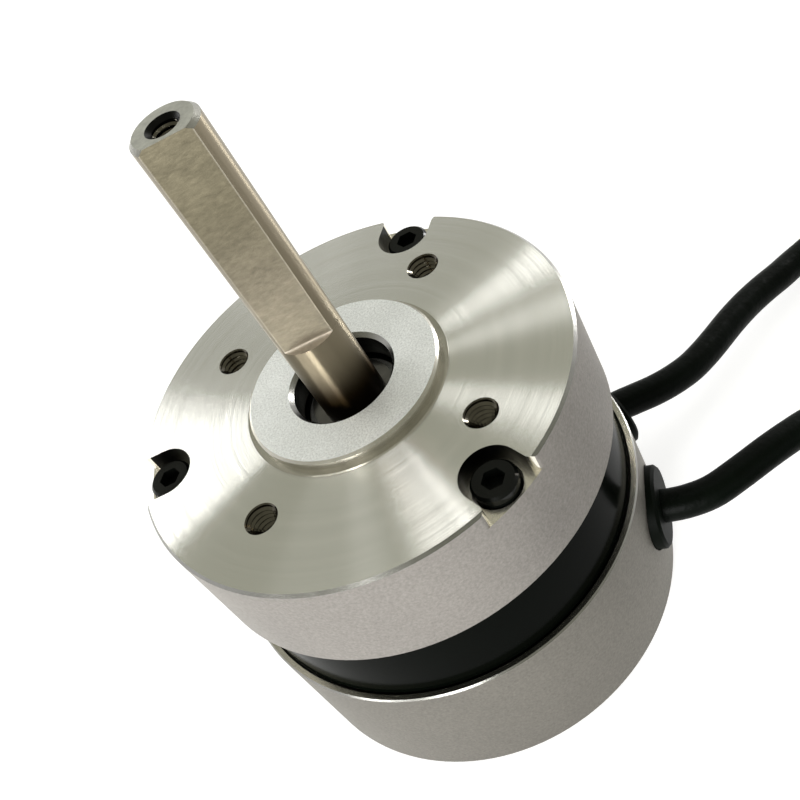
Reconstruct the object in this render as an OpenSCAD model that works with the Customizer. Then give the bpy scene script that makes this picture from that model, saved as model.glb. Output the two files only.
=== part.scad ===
// Axial flux motor: two machined caps clamp a black stator ring with nine coils.
// Two magnet discs turn on one shaft, one on each side of the stator.
// Base on the floor at z = 0, shaft upwards. Millimetres.

/* [Housing] */
// outside diameter of both caps
body_d = 57; // [54:0.5:64]
// height of the front cap, from its joint to the mounting face
front_cap_h = 15.2; // [14:0.1:18]
// height of the black ring between the caps
band_h = 11.2; // [10:0.1:14]
// height of the rear cap
rear_cap_h = 19.6; // [18:0.1:22]
// how far the black ring lies inside the caps' outside
band_inset = 1.2; // [1:0.1:1.3]
// chamfer round the mounting face
face_chamfer = 0.35; // [0.2:0.05:0.6]
// chamfer round the base
base_chamfer = 0.4; // [0.2:0.05:0.8]
// width of the shadow groove at the foot of the black ring
groove_w = 0.35; // [0.2:0.05:0.6]
// depth of the shadow groove
groove_depth = 0.5; // [0.3:0.1:1]
// length of the stator ring's spigot in each cap
spigot_h = 2; // [1.5:0.1:2.5]
// wall of the spigot
spigot_wall = 0.8; // [0.6:0.1:1]
// small chamfer at the caps' joints and on the spigots
joint_chamfer = 0.2; // [0.1:0.05:0.4]

/* [Pilot boss] */
// diameter of the centring boss
boss_d = 25; // [24:0.5:28]
// height of the centring boss above the mounting face
boss_h = 1.6; // [1.2:0.1:2.5]
// width of the low step round the boss
step_w = 0.75; // [0.5:0.05:2]
// height of the low step
step_h = 0.3; // [0.2:0.1:0.8]
// diameter of the bore that the shaft comes through
boss_bore_d = 13; // [12:0.5:15]
// chamfer at the mouth of that bore
bore_chamfer = 0.5; // [0.3:0.1:0.8]
// chamfer round the boss
boss_chamfer = 0.3; // [0.2:0.05:0.5]

/* [Mounting holes] */
// diameter of the circle that the tapped holes lie on
mount_pcd = 39; // [36:0.5:41]
// number of tapped holes
mount_n = 4; // [4:1:4]
// nominal thread diameter of the tapped holes
mount_d = 4; // [3:0.5:4]
// metal left between the tapped holes' thread and the space inside
mount_floor = 2.4; // [2:0.1:4]
// chamfer at the mouth of the tapped holes
mount_chamfer = 0.3; // [0.2:0.05:0.4]
// direction of the first tapped hole
mount_az = -3.3; // [-6:0.1:0]

/* [Case screws] */
// distance from the outside of the caps to the case screws' circle
screw_edge = 3.2; // [3:0.05:3.4]
// wall between the case screws' holes and the spigots
screw_web = 0.6; // [0.5:0.05:1]
// direction of the first case screw
screw_az = 10.8; // [8:0.1:14]
// thread diameter of the case screws
screw_d = 3; // [2.8:0.1:3.2]
// length of the case screws under the head
screw_l = 30; // [27:0.5:31]
// head diameter
head_d = 5.5; // [5.3:0.1:5.7]
// head height
head_h = 3; // [2.5:0.1:3]
// width across the flats of the hex socket
hex_af = 2.5; // [2.3:0.1:2.7]
// radius of the rounded notch at each screw head
notch_r = 3.6; // [3.4:0.1:3.8]
// depth of the notch below the mounting face
notch_depth = 2.5; // [2:0.1:3]
// depth of the counterbore in the notch's floor
counterbore = 1.6; // [1.2:0.1:2]
// rounding where a notch meets the rim
notch_round = 0.9; // [0.5:0.1:1.2]

/* [Shaft] */
// shaft diameter, which is also the bearings' bore
shaft_d = 8; // [7:0.5:9]
// length of shaft in front of the mounting face
shaft_out = 40.4; // [30:0.1:60]
// distance from the axis to the flat
flat_dist = 2.6; // [2.5:0.1:3.4]
// where the flat starts, above the mounting face
flat_start = 10.65; // [8:0.05:20]
// how much thinner the shaft is ground along its flat, on the radius
end_relief = 0.02; // [0.01:0.01:0.05]
// direction that the flat faces
flat_az = 219.9; // [0:0.1:360]
// chamfer at the shaft's front end
shaft_chamfer = 0.5; // [0.3:0.1:0.8]
// thickness of the retaining rings
clip_t = 0.8; // [0.6:0.1:1]
// how far the retaining rings stand out from the shaft
clip_out = 1.3; // [1:0.1:1.5]
// depth of their grooves
clip_groove = 0.2; // [0.15:0.05:0.4]
// width of the key between shaft and sleeve
key_w = 2; // [1.5:0.5:2.5]
// length of the key
key_l = 12; // [8:1:14]
// thread diameter of the hole in the shaft's end
end_hole_d = 3; // [2.5:0.5:3.5]
// depth of the hole in the shaft's end
end_hole_depth = 8; // [6:0.5:12]

/* [Bearings] */
// outside diameter of both bearings
bearing_d = 22; // [21:0.5:24]
// width of both bearings
bearing_w = 7; // [6.5:0.1:7.6]
// ball diameter
ball_d = 3.969; // [3.8:0.001:4]
// half the open space between a bearing's two rings
race_half = 1.45; // [1.3:0.05:1.6]
// number of balls
ball_n = 7; // [6:1:7]
// thickness of the cages
cage_t = 1.8; // [1.6:0.1:2]
// thickness of the shields
shield_t = 0.3; // [0.2:0.05:0.4]
// how far the shields lie inside a bearing's faces
shield_in = 0.25; // [0.15:0.05:0.3]
// room for the wave washer over the front bearing
washer_h = 0.6; // [0.5:0.05:0.8]
// thickness of the wave washer's metal
washer_t = 0.3; // [0.2:0.05:0.3]
// width of the wave washer
washer_w = 1.5; // [1.2:0.1:1.8]
// thickness of the floor under the rear bearing
floor_t = 3; // [2.8:0.1:3.6]
// thickness of the floor under the shaft's end
relief_floor = 1.2; // [1:0.1:1.4]
// wall of the hub round the rear bearing
hub_wall = 2; // [1.5:0.1:2.4]

/* [Rotor] */
// gap between the magnet discs and the wall round them
rotor_edge = 2.1; // [1.8:0.1:2.5]
// thickness of both magnet discs
rotor_t = 2.5; // [2.2:0.1:2.6]
// magnet thickness
magnet_t = 2; // [1.8:0.1:2.1]
// rim of each disc outside its magnets
magnet_rim = 1.2; // [0.8:0.1:1.6]
// distance from the sleeve to the magnets
magnet_in = 2.6; // [2:0.1:3]
// angle left open between two magnets
magnet_open = 3; // [2:0.5:5]
// magnets on each disc
magnet_n = 8; // [8:2:12]
// gap between magnets and stator
air_gap = 0.7; // [0.5:0.05:0.8]
// wall of the sleeve between the discs
spacer_wall = 4.9; // [4.6:0.1:5.2]
// wall of the collars that bear on the bearings
collar_wall = 1.1; // [0.9:0.05:1.2]
// thread diameter of the small screws in the rotor and on the board
small_d = 2; // [1.8:0.1:2]
// length of the rotor's screws
rotor_screw_l = 6; // [5:0.5:7]

/* [Stator] */
// number of coils
coil_n = 9; // [9:3:9]
// distance from the coils to the wall round them
coil_edge = 1.9; // [1.8:0.1:2.4]
// distance from the sleeve to the coils
coil_in = 0.6; // [0.5:0.1:1]
// gap between neighbouring coils
coil_gap = 0.35; // [0.2:0.05:0.6]
// thickness of the winding round each core
winding_t = 1.9; // [1.4:0.1:2]
// wall of the bobbins
bobbin_t = 0.5; // [0.4:0.05:0.6]
// thickness of both stator covers
cover_t = 0.8; // [0.6:0.1:1]
// diameter of the phase wires
phase_d = 0.8; // [0.6:0.1:0.9]
// bend radius of the phase wires
phase_bend = 1.2; // [1:0.1:1.5]

/* [Sensor board] */
// board thickness
board_t = 1.6; // [1:0.2:1.6]
// gap between the board and the hub inside it
board_gap = 0.5; // [0.4:0.1:1]
// gap between the board and the wall round it
board_edge = 1.9; // [1.6:0.1:2.2]
// height of the magnet ring that the sensors read
ring_h = 1; // [0.8:0.1:1.2]
// width of that magnet ring
ring_w = 3.4; // [3:0.1:4]
// gap between the sensors and the magnet ring
sensor_gap = 1; // [0.8:0.1:1.1]
// sensor height
sensor_h = 1.2; // [1:0.1:1.3]
// sensor width along the ring
sensor_w = 3; // [2.5:0.1:3.5]
// sensor length across the ring
sensor_l = 1.6; // [1.4:0.1:2]
// radius of the posts under the board
post_r = 2.2; // [2:0.1:2.4]
// length of the board's screws
board_screw_l = 5; // [4:0.5:5.5]
// height of the solder pads
pad_h = 0.15; // [0.1:0.05:0.2]

/* [Cables] */
// diameter of both cables
cable_d = 4.5; // [4:0.1:5]
// height of both cable outlets above the base
outlet_z = 10.4; // [10.2:0.1:10.6]
// directions of the power and the sensor cable outlet
power_az = -67.5; // [-70:0.5:-60]
sensor_az = -30; // [-32:0.5:-26]
// diameter of the grommets' outer flange
flange_d = 11.2; // [10.5:0.1:12]
// how far the flange stands out from the caps' outside
flange_proud = 1.1; // [0.8:0.1:2]
// depth of the flat seat under the flange
seat_depth = 0.7; // [0.7:0.05:1]
// diameter of the grommets' neck in the wall
neck_d = 7.2; // [6.8:0.1:8]
// how far the grommets' inner lip stands out from the neck
lip_w = 1; // [0.8:0.1:1.2]
// thickness of that lip
lip_t = 0.9; // [0.7:0.1:1.1]
// rounding of the flange's outer edge
flange_round = 0.4; // [0.2:0.1:0.6]
// radius of the cables' coils at the middle of the cable
coil_r = 22.5; // [22:0.25:23]
// turns in each coil
coil_turns = 1.3; // [1.2:0.05:1.35]
// how far the second turn lies above the first
coil_rise = 4.6; // [4.6:0.1:5]
// width of the ties round the coils
tie_w = 4; // [3:0.5:5]
// thickness of the ties
tie_t = 0.4; // [0.3:0.1:0.6]

/* [Plugs] */
// width of the power plug
power_plug_w = 13; // [12:0.5:13.5]
// height of the power plug
power_plug_h = 6.6; // [6:0.1:8]
// length of the power plug
power_plug_l = 14; // [12:0.5:14.5]
// distance between the power plug's contacts
power_step = 4; // [3.5:0.1:4.2]
// width of the power plug's chambers
power_chamber = 2.4; // [2:0.1:2.8]
// thickness of the power plug's contacts
power_contact = 1.4; // [1:0.1:1.8]
// width of the sensor plug
sensor_plug_w = 14.5; // [13.5:0.5:16]
// height of the sensor plug
sensor_plug_h = 5.8; // [5.6:0.1:7]
// length of the sensor plug
sensor_plug_l = 11; // [10:0.5:13]
// distance between the sensor plug's contacts
sensor_step = 2.5; // [2.2:0.1:2.6]
// width of the sensor plug's chambers
sensor_chamber = 1.5; // [1.2:0.1:1.8]
// thickness of the sensor plug's contacts
sensor_contact = 0.7; // [0.5:0.1:1]
// depth of the chambers
chamber_l = 6; // [5:0.5:7]

/* [Fits] */
// clearance round bearings, covers and spigots
fit = 0.02; // [0.01:0.01:0.05]
// clearance of screws in tapped holes
thread_gap = 0.02; // [0.01:0.01:0.05]
// clearance of screws in plain holes
hole_gap = 0.1; // [0.05:0.05:0.1]
// clearance of screw heads in their counterbores
head_gap = 0.25; // [0.1:0.05:0.3]
// clearance of the cages round the balls
cage_gap = 0.05; // [0.03:0.01:0.08]
// clearance of the flanges in their seats
flange_gap = 0.15; // [0.1:0.05:0.3]
// clearance between sleeve and stator covers
cover_gap = 0.4; // [0.3:0.1:0.5]
// clearance between cores and bobbins
core_gap = 0.1; // [0.05:0.05:0.1]
// room between the stator's faces and the joints
joint_gap = 0.2; // [0.1:0.1:0.4]
// running clearance of the balls in their grooves
ball_gap = 0.03; // [0.02:0.01:0.05]
// clearance between the front disc and the front cap
rotor_gap = 0.8; // [0.6:0.1:1]

/* [Hidden] */
$fn = 72;
body_r = body_d / 2;
band_r = body_r - band_inset;
shaft_r = shaft_d / 2;
bearing_r = bearing_d / 2;
boss_r = boss_d / 2;
// outwards from the screws' circle to the spigots, and to the space inside
screw_r = body_r - screw_edge;
screw_hole_r = screw_d / 2 + hole_gap;
spigot_r = screw_r - screw_hole_r - screw_web;
cavity_r = spigot_r - spigot_wall;
// heights of the joints and of the mounting face
z_rear = rear_cap_h;
z_front = z_rear + band_h;
z_face = z_front + front_cap_h;
z_boss = z_face + boss_h;
// stator between its two faces
z_cover0 = z_rear + joint_gap;
z_cover1 = z_front - joint_gap;
z_wind0 = z_cover0 + cover_t;
z_wind1 = z_cover1 - cover_t;
z_mid = (z_rear + z_front) / 2;
// front disc and front bearing, upwards from the stator
z_fmag = z_cover1 + air_gap;
z_fdisc = z_fmag + magnet_t;
z_fdisc1 = z_fdisc + rotor_t;
z_fbear = z_fdisc1 + rotor_gap;
z_fbear1 = z_fbear + bearing_w;
z_lip = z_fbear1 + washer_h;
mount_depth = z_face - z_fbear - mount_floor;
// rear disc, sensor board and rear bearing, downwards from the stator
z_rmag1 = z_cover0 - air_gap;
z_rdisc1 = z_rmag1 - magnet_t;
z_rdisc = z_rdisc1 - rotor_t;
z_sensor1 = z_rdisc - ring_h - sensor_gap;
z_board1 = z_sensor1 - sensor_h;
z_board = z_board1 - board_t;
z_rbear = floor_t;
z_rbear1 = z_rbear + bearing_w;
hub_r = bearing_r + hub_wall;
relief_r = bearing_r - 2.5;
// bearings
ball_pcd = (shaft_d + bearing_d) / 2;
ball_r = ball_pcd / 2;
cage_h = ball_d + 0.8;
// shaft, retaining rings and case screws
z_shaft0 = relief_floor + 0.5;
z_shaft1 = z_face + shaft_out;
end_r = shaft_r - end_relief;
clip_r = shaft_r + clip_out;
z_seat = z_face - notch_depth - counterbore;
// radii of the rotor, outwards
collar_r = shaft_r + collar_wall;
spacer_r = shaft_r + spacer_wall;
rotor_r = cavity_r - rotor_edge;
magnet_ri = spacer_r + magnet_in;
magnet_ro = rotor_r - magnet_rim;
// heads of the small screws in the rotor and on the board
small_head_r = 0.95 * small_d;
small_head_h = 0.65 * small_d;
small_af = 0.65 * small_d;
rotor_screw_r = spacer_r - small_d * 0.85;
// key, how deep it lies in the shaft and in the sleeve
key_in = 1.2;
key_out = 1;
// coils: what lies round each core, and the cores' ends
frame_t = core_gap + bobbin_t + winding_t;
core_xi = spacer_r + coil_in + frame_t;
core_xo = cavity_r - coil_edge - frame_t;
half = 180 / coil_n;
core_side = coil_gap / 2 + frame_t;
// board and what stands on it
board_ri = hub_r + board_gap;
board_ro = cavity_r - board_edge;
post_circle = board_ro - post_r;
post_az = -50;
sensor_az0 = -110;
// grommets, and where the cables end inside
seat_x = body_r - seat_depth;
flange_x = body_r + flange_proud;
neck_r = neck_d / 2;
lip_r = neck_r + lip_w;
lip_x = sqrt(pow(cavity_r, 2) - pow(lip_r, 2));
cable_x = lip_x - lip_t - 0.3;
// wires inside, with their pads
power_n = 3;
power_lead_r = 0.4;
power_lead_step = 0.95;
sensor_n = 5;
sensor_lead_r = 0.28;
sensor_lead_step = 0.7;
lead_l = 2.2;
pad_l = 1.5;
phase_r = phase_d / 2;
phase_x = cavity_r - 0.75 - phase_r;
phase_azs = [-96, -104, -136];

// route of each cable, from inside its grommet to its coil
power_route = [
  [7.9, -19.1, 10.4], [9.6, -23.1, 10.4], [11.3, -27.4, 10.4], [12.7, -30.3, 10.4],
  [14.9, -33, 10.3], [18.4, -35.4, 10.1], [22.5, -37.8, 9.7], [25.8, -39.6, 9],
  [28.8, -41.3, 8.2], [32, -43.5, 7.2], [35.9, -48.6, 5.9], [37.9, -54.3, 4.6],
  [38.2, -60.4, 3.5], [37.1, -66.8, 2.9], [34.8, -73.2, 2.65], [31.7, -79.4, 2.65],
  [27.9, -85.3, 2.65]];
sensor_route = [
  [17.9, -10.3, 10.4], [21.7, -12.5, 10.4], [25.6, -14.8, 10.3], [27.9, -16.7, 9.8],
  [30.4, -18.8, 9.1], [33, -20.6, 8.5], [36.1, -22.2, 7.9], [39.3, -23.2, 7.4],
  [42.5, -23.9, 6.9], [46.6, -24.7, 6.3], [50.7, -25.7, 5.6], [54.6, -27, 4.9],
  [58.3, -28.5, 4.2], [62.5, -30.1, 3.5], [69.9, -34.1, 3], [75.8, -40.1, 2.8],
  [80.2, -47.4, 2.65], [83.6, -55.6, 2.65], [86.2, -64.2, 2.65]];
// direction from each coil's centre to the point where its cable comes in
power_coil_az = -35;
sensor_coil_az = 15;
// each coil is a turn on the floor, then a climb over its own start onto that turn
coil_z = 2.65;
climb_from = 215;
climb_to = 325;
coil_steps = 36;
coil_end = -360 * coil_turns;
function coil_at(route, az) = let (p = route[len(route) - 1])
  [p[0] - coil_r * cos(az), p[1] - coil_r * sin(az), 0];
power_coil_at = coil_at(power_route, power_coil_az);
sensor_coil_at = coil_at(sensor_route, sensor_coil_az);
// the cable's last stretch, from the upper turn down to the plug, seen from the coil's centre
tail_route = [
  [coil_r, 0, coil_z + coil_rise], [21.5, -6, coil_z + coil_rise], [18.5, -11.3, 7.2], [13.9, -14.7, 6.6],
  [8.5, -15.8, 5.1], [3.2, -14.6, 3.8], [-1.1, -11.5, 3.1], [-3.8, -7.6, 3], [-5.6, -3.9, 3]];
plug_at = tail_route[len(tail_route) - 1];
plug_az = 120;
tie_az = -72;

// copies of what follows, evenly round the axis
module around(n, start = 0)
  for (i = [0 : n - 1]) rotate([0, 0, start + i * 360 / n]) children();

// places what follows so that its own axis runs outwards from the shaft
module outwards(az, z, x)
  rotate([0, 0, az]) translate([x, 0, z]) rotate([0, 90, 0]) children();

module ring(ro, ri, h, z) translate([0, 0, z]) difference() {
  cylinder(r = ro, h = h);
  translate([0, 0, -1]) cylinder(r = ri, h = h + 2);
}

// a screw whose head stands on z = 0, shank downwards
module cap_screw(d, l, hd, hh, af) difference() {
  union() {
    translate([0, 0, -l]) cylinder(d = d, h = l + 0.5);
    rotate_extrude() polygon([[0, 0], [hd / 2, 0], [hd / 2, hh - 0.3], [hd / 2 - 0.3, hh], [0, hh]]);
  }
  translate([0, 0, hh * 0.5]) cylinder(d = af / cos(30), h = hh, $fn = 6);
}

// notch outline: a round pocket round the screw, open to the rim, its two corners rounded
module notch_outline() {
  y = notch_r + notch_round;
  x = sqrt(pow(body_r - notch_round, 2) - y * y);
  k = body_r / (body_r - notch_round);
  translate([screw_r, 0]) circle(r = notch_r);
  translate([screw_r, -notch_r]) square([body_r, 2 * notch_r]);
  for (s = [-1, 1]) difference() {
    polygon([[x, s * (notch_r - 0.1)], [x, s * notch_r], [x * k, s * y * k],
      [x * k + 2, s * y * k], [x * k + 2, s * (notch_r - 0.1)]]);
    translate([x, s * y]) circle(r = notch_round);
  }
}

module front_cap() color([0.72, 0.71, 0.68]) difference() {
  bore_r = boss_bore_d / 2;
  rotate_extrude() polygon([
    [bore_r, z_lip], [bore_r, z_boss - bore_chamfer], [bore_r + bore_chamfer, z_boss],
    [boss_r - boss_chamfer, z_boss], [boss_r, z_boss - boss_chamfer], [boss_r, z_face + step_h],
    [boss_r + step_w, z_face + step_h], [boss_r + step_w, z_face],
    [body_r - face_chamfer, z_face], [body_r, z_face - face_chamfer],
    [body_r, z_front + joint_chamfer], [body_r - joint_chamfer, z_front],
    [spigot_r + fit, z_front], [spigot_r + fit, z_front + spigot_h + hole_gap],
    [cavity_r, z_front + spigot_h + hole_gap], [cavity_r, z_fbear],
    [bearing_r + fit, z_fbear], [bearing_r + fit, z_lip]]);
  around(3, screw_az) {
    translate([0, 0, z_face - notch_depth]) linear_extrude(notch_depth + 1) notch_outline();
    translate([screw_r, 0, z_seat]) cylinder(r = head_d / 2 + head_gap, h = counterbore + 1);
    translate([screw_r, 0, z_front - 1]) cylinder(r = screw_hole_r, h = z_face - z_front);
  }
  around(mount_n, mount_az) translate([mount_pcd / 2, 0, z_face]) mount_hole();
}

// a blind tapped hole, drawn at its nominal thread diameter, mouth at z = 0
module mount_hole() {
  r = mount_d / 2;
  translate([0, 0, -mount_depth]) cylinder(r = r, h = mount_depth + 1);
  translate([0, 0, -mount_depth - r * 0.5]) cylinder(r1 = 0, r2 = r, h = r * 0.5);
  translate([0, 0, -mount_chamfer / 2]) cylinder(r1 = r, r2 = r + mount_chamfer, h = mount_chamfer);
}

module rear_cap() color([0.72, 0.71, 0.68]) difference() {
  union() {
    rotate_extrude() polygon([
      [0, 0], [body_r - base_chamfer, 0], [body_r, base_chamfer],
      [body_r, z_rear - joint_chamfer], [body_r - joint_chamfer, z_rear],
      [band_r + groove_w, z_rear], [band_r + groove_w, z_rear - groove_depth],
      [band_r, z_rear - groove_depth], [band_r, z_rear],
      [spigot_r + fit, z_rear], [spigot_r + fit, z_rear - spigot_h - hole_gap],
      [cavity_r, z_rear - spigot_h - hole_gap], [cavity_r, floor_t],
      [hub_r, floor_t], [hub_r, z_rbear1], [bearing_r + fit, z_rbear1],
      [bearing_r + fit, z_rbear], [relief_r, z_rbear], [relief_r, relief_floor], [0, relief_floor]]);
    around(3, post_az) translate([post_circle, 0, floor_t - 0.5])
      cylinder(r = post_r, h = z_board - floor_t + 0.5);
  }
  around(3, post_az) translate([post_circle, 0, z_board1 - board_screw_l - 0.5])
    cylinder(r = small_d / 2 + thread_gap, h = board_screw_l + 1);
  around(3, screw_az) translate([screw_r, 0, z_seat - screw_l - 1])
    cylinder(r = screw_d / 2 + thread_gap, h = screw_l);
  for (az = [power_az, sensor_az]) {
    outwards(az, outlet_z, cavity_r - 2) cylinder(r = neck_r + fit, h = 10);
    outwards(az, outlet_z, seat_x) cylinder(r = flange_d / 2 + flange_gap, h = 5);
  }
}

module stator_ring() color([0.1, 0.1, 0.1]) difference() {
  rotate_extrude() polygon([
    [cavity_r - 0.7, z_wind0], [cavity_r - 0.7, z_wind1], [cavity_r, z_wind1],
    [cavity_r, z_front + spigot_h], [spigot_r - joint_chamfer, z_front + spigot_h],
    [spigot_r, z_front + spigot_h - joint_chamfer], [spigot_r, z_front],
    [band_r, z_front], [band_r, z_rear], [spigot_r, z_rear],
    [spigot_r, z_rear - spigot_h + joint_chamfer], [spigot_r - joint_chamfer, z_rear - spigot_h],
    [cavity_r, z_rear - spigot_h], [cavity_r, z_wind0]]);
  around(3, screw_az) translate([screw_r, 0, z_rear - 3])
    cylinder(r = screw_hole_r, h = band_h + 6);
}

// outline round a core, g outside the core's own sides, its corners cut by c
function side_y(x, g) = x * tan(half) - (core_side - g) / cos(half);
function core_outline(g, c) = let (a = core_xi - g, b = core_xo + g)
  [[a, side_y(a, g) - c], [a, c - side_y(a, g)], [a + c, -side_y(a + c, g)], [b - c, -side_y(b - c, g)],
   [b, c - side_y(b, g)], [b, side_y(b, g) - c], [b - c, side_y(b - c, g)], [a + c, side_y(a + c, g)]];

module core_shape(g, c, z0, z1)
  translate([0, 0, z0]) linear_extrude(z1 - z0) polygon(core_outline(g, c));

// a frame round each core, between the outlines g0 and g1
module core_frame(g0, g1, c0, c1, z0, z1) difference() {
  core_shape(g1, c1, z0, z1);
  core_shape(g0, c0, z0 - 1, z1 + 1);
}

module stator_cores() color([0.35, 0.36, 0.38]) around(coil_n) core_shape(0, 0.3, z_cover0, z_cover1);

module bobbins() color([0.9, 0.88, 0.8]) around(coil_n) {
  g1 = core_gap + bobbin_t;
  g2 = frame_t;
  core_frame(core_gap, g2, 0.3, 1.5, z_wind0, z_wind0 + bobbin_t);
  core_frame(core_gap, g1, 0.3, 0.5, z_wind0, z_wind1);
  core_frame(core_gap, g2, 0.3, 1.5, z_wind1 - bobbin_t, z_wind1);
}

module windings() color([0.75, 0.4, 0.2]) around(coil_n) {
  g1 = core_gap + bobbin_t;
  core_frame(g1, frame_t, 0.5, 1.5, z_wind0 + bobbin_t, z_wind1 - bobbin_t);
}

module cover_plate(z) difference() {
  ring(cavity_r - fit, spacer_r + cover_gap, cover_t, z);
  around(coil_n) core_shape(core_gap / 2, 0.3, z - 1, z + cover_t + 1);
}

module front_cover() color([0.25, 0.45, 0.3]) cover_plate(z_cover1 - cover_t);

module rear_cover() color([0.25, 0.45, 0.3]) difference() {
  cover_plate(z_cover0);
  for (az = phase_azs) rotate([0, 0, az]) translate([phase_x, 0, z_cover0 - 1])
    cylinder(r = phase_r + 0.15, h = cover_t + 2);
}

// each phase wire comes down past the rear disc and bends in onto the board
module phase_wires() color([0.8, 0.45, 0.2]) for (az = phase_azs) rotate([0, 0, az]) {
  z = z_board1 + pad_h + phase_r;
  x = phase_x - phase_bend;
  translate([phase_x, 0, z + phase_bend]) cylinder(r = phase_r, h = z_wind0 - z - phase_bend, $fn = 24);
  translate([x, 0, z + phase_bend]) rotate([90, 0, 0]) rotate([0, 0, -90])
    rotate_extrude(angle = 90, $fn = 48) translate([phase_bend, 0]) circle(r = phase_r, $fn = 24);
  translate([x - phase_bend, 0, z]) rotate([0, 90, 0]) cylinder(r = phase_r, h = phase_bend, $fn = 24);
}

module sensor_board() color([0.1, 0.35, 0.2]) {
  difference() {
    ring(board_ro, board_ri, board_t, z_board);
    around(3, post_az) translate([post_circle, 0, z_board - 1])
      cylinder(r = small_d / 2 + hole_gap, h = board_t + 2);
  }
  for (az = phase_azs) pad(az, phase_x - 2 * phase_bend - 0.3, 0, phase_d + 0.4);
  for (i = [0 : power_n - 1])
    pad(power_az, cable_x - lead_l - 0.5, in_row(i, power_n, power_lead_step), 2 * power_lead_r);
  for (i = [0 : sensor_n - 1])
    pad(sensor_az, cable_x - lead_l - 0.5, in_row(i, sensor_n, sensor_lead_step), 2 * sensor_lead_r - 0.06);
}

// place of one of n things that stand side by side
function in_row(i, n, step) = (i - (n - 1) / 2) * step;

// a solder pad on the board, its inner end at x
module pad(az, x, y, w)
  rotate([0, 0, az]) translate([x, y - w / 2, z_board1 - 0.1]) cube([pad_l, w, pad_h + 0.1]);

module hall_sensors() color([0.12, 0.12, 0.13]) around(3, sensor_az0)
  translate([board_ri + (ring_w - sensor_l) / 2, -sensor_w / 2, z_board1]) cube([sensor_l, sensor_w, sensor_h]);

module board_screws() color([0.6, 0.6, 0.62]) around(3, post_az)
  translate([post_circle, 0, z_board1])
    cap_screw(small_d, board_screw_l, 2 * small_head_r, small_head_h, small_af);

module case_screws() color([0.08, 0.08, 0.08]) around(3, screw_az)
  translate([screw_r, 0, z_seat]) cap_screw(screw_d, screw_l, head_d, head_h, hex_af);

// a thin ring with three waves, between the front bearing and its cap
module wave_washer() color([0.6, 0.6, 0.6]) {
  n = 60;
  ro = bearing_r - 0.3;
  ri = ro - washer_w;
  wave = washer_h - washer_t;
  section = [[ri, 0], [ro, 0], [ro, washer_t], [ri, washer_t]];
  pts = [for (i = [0 : n - 1]) let (a = i * 360 / n, z = z_fbear1 + wave * (1 + cos(3 * a)) / 2)
    each [for (p = section) [p[0] * cos(a), p[0] * sin(a), z + p[1]]]];
  faces = [for (i = [0 : n - 1], k = [0 : 3])
    [4 * i + k, 4 * i + (k + 1) % 4, 4 * ((i + 1) % n) + (k + 1) % 4, 4 * ((i + 1) % n) + k]];
  polyhedron(pts, faces);
}

// bearing pieces, each bearing's lower face at z
module ball_groove(z) translate([0, 0, z + bearing_w / 2]) rotate_extrude()
  translate([ball_r, 0]) circle(d = ball_d + 2 * ball_gap, $fn = 48);

module outer_race(z) difference() {
  ring(bearing_r, ball_r + race_half, bearing_w, z);
  ball_groove(z);
}

module inner_race(z) difference() {
  ring(ball_r - race_half, shaft_r + fit, bearing_w, z);
  ball_groove(z);
}

module shields(z) for (h = [shield_in, bearing_w - shield_in - shield_t])
  ring(ball_r + race_half, ball_r - race_half + 0.3, shield_t, z + h);

// the n balls of a bearing, each wider by 2 * gap
module ball_ring(z, gap) around(ball_n) translate([ball_r, 0, z + bearing_w / 2])
  sphere(d = ball_d + 2 * gap, $fn = 32);

module cage(z) difference() {
  ring(ball_r + cage_t / 2, ball_r - cage_t / 2, cage_h, z + (bearing_w - cage_h) / 2);
  ball_ring(z, cage_gap);
}

module front_bearing_outer() color([0.75, 0.76, 0.78]) outer_race(z_fbear);
module front_bearing_inner() color([0.75, 0.76, 0.78]) inner_race(z_fbear);
module front_bearing_shields() color([0.3, 0.3, 0.32]) shields(z_fbear);
module front_bearing_balls() color([0.8, 0.8, 0.82]) ball_ring(z_fbear, 0);
module front_bearing_cage() color([0.7, 0.6, 0.3]) cage(z_fbear);
module rear_bearing_outer() color([0.75, 0.76, 0.78]) outer_race(z_rbear);
module rear_bearing_inner() color([0.75, 0.76, 0.78]) inner_race(z_rbear);
module rear_bearing_shields() color([0.3, 0.3, 0.32]) shields(z_rbear);
module rear_bearing_balls() color([0.8, 0.8, 0.82]) ball_ring(z_rbear, 0);
module rear_bearing_cage() color([0.7, 0.6, 0.3]) cage(z_rbear);

module shaft() color([0.62, 0.58, 0.53]) difference() {
  rotate([0, 0, flat_az]) difference() {
    rotate_extrude() polygon([
      [0, z_shaft0], [shaft_r - 0.3, z_shaft0], [shaft_r, z_shaft0 + 0.3],
      [shaft_r, z_rbear - clip_t], [shaft_r - clip_groove, z_rbear - clip_t],
      [shaft_r - clip_groove, z_rbear], [shaft_r, z_rbear],
      [shaft_r, z_fbear1], [shaft_r - clip_groove, z_fbear1],
      [shaft_r - clip_groove, z_fbear1 + clip_t], [shaft_r, z_fbear1 + clip_t],
      [shaft_r, z_face + flat_start], [end_r, z_face + flat_start],
      [end_r, z_shaft1 - shaft_chamfer], [end_r - shaft_chamfer, z_shaft1], [0, z_shaft1]]);
    translate([flat_dist, -shaft_d, z_face + flat_start]) cube([shaft_d, 2 * shaft_d, shaft_out]);
  }
  translate([0, 0, z_shaft1 - end_hole_depth]) cylinder(d = end_hole_d, h = end_hole_depth + 1);
  translate([0, 0, z_shaft1 - end_hole_depth - 0.8]) cylinder(d1 = 0, d2 = end_hole_d, h = 0.8);
  translate([0, 0, z_shaft1 - 0.5]) cylinder(d1 = end_hole_d, d2 = end_hole_d + 2, h = 1);
  key_slot(0);
}

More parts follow.
